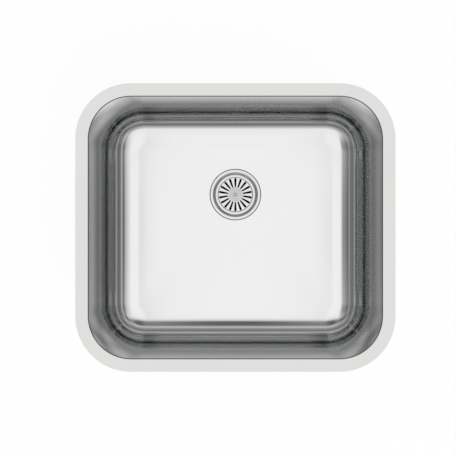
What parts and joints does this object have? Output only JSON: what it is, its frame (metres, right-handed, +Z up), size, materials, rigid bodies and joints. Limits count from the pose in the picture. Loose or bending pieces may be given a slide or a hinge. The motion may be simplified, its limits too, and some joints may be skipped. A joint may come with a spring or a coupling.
{
  "type": "undermount kitchen sink",
  "caption": "Undermount kitchen sink: deep pressed steel bowl with a flat fixing flange, outlet set towards the rear, and a lift-out slotted basket strainer over a tail pipe.",
  "frame": {"origin": "centre of the bowl opening, in the plane of the flange's top face", "axes": "+X along the bowl's length, +Y to the rear, the side that the outlet lies nearer to, +Z up"},
  "size_m": [0.586, 0.528, 0.3782],
  "materials": {
    "bowl_steel": "satin, finely brushed",
    "strainer_steel": "turned and polished",
    "pipe_chrome": "bright",
    "nut_metal": "dull plated casting",
    "black_rubber": "matt",
    "deadening_pad": "matt, stippled",
    "grey_fibre": "pressed fibre",
    "white_nylon": "moulded"
  },
  "bodies": {
    "sink": {"sink_bowl": "bowl_steel", "rear_wall_pad": "deadening_pad", "left_wall_pad": "deadening_pad", "front_wall_pad": "deadening_pad", "right_wall_pad": "deadening_pad", "left_floor_pad": "deadening_pad", "right_floor_pad": "deadening_pad", "front_floor_pad": "deadening_pad", "flange_gasket": "black_rubber", "strainer_body": "strainer_steel", "under_gasket": "black_rubber", "friction_ring": "grey_fibre", "lock_nut": "nut_metal", "tail_washer": "white_nylon", "tailpiece": "pipe_chrome", "coupling_nut": "nut_metal"},
    "cage": {"plunger_cage": "white_nylon"},
    "basket": {"basket_shell": "strainer_steel"},
    "plunger": {"plunger_pin": "strainer_steel", "plunger_clip": "strainer_steel", "stopper_plate": "strainer_steel", "stopper_disc": "black_rubber", "stopper_washer": "strainer_steel", "stopper_nut": "strainer_steel"}
  },
  "joints": [
    {"name": "basket_lift", "type": "slide", "parent": "sink", "child": "cage", "axis": [0, 0, 1], "range_m": [0, 0.3]},
    {"name": "basket_turn", "type": "hinge", "parent": "cage", "child": "basket", "pos_m": [0, 0.071, -0.235], "axis": [0, 0, 1], "continuous": true},
    {"name": "plunger_lift", "type": "slide", "parent": "cage", "child": "plunger", "axis": [0, 0, 1], "range_m": [0, 0.01]}
  ]
}
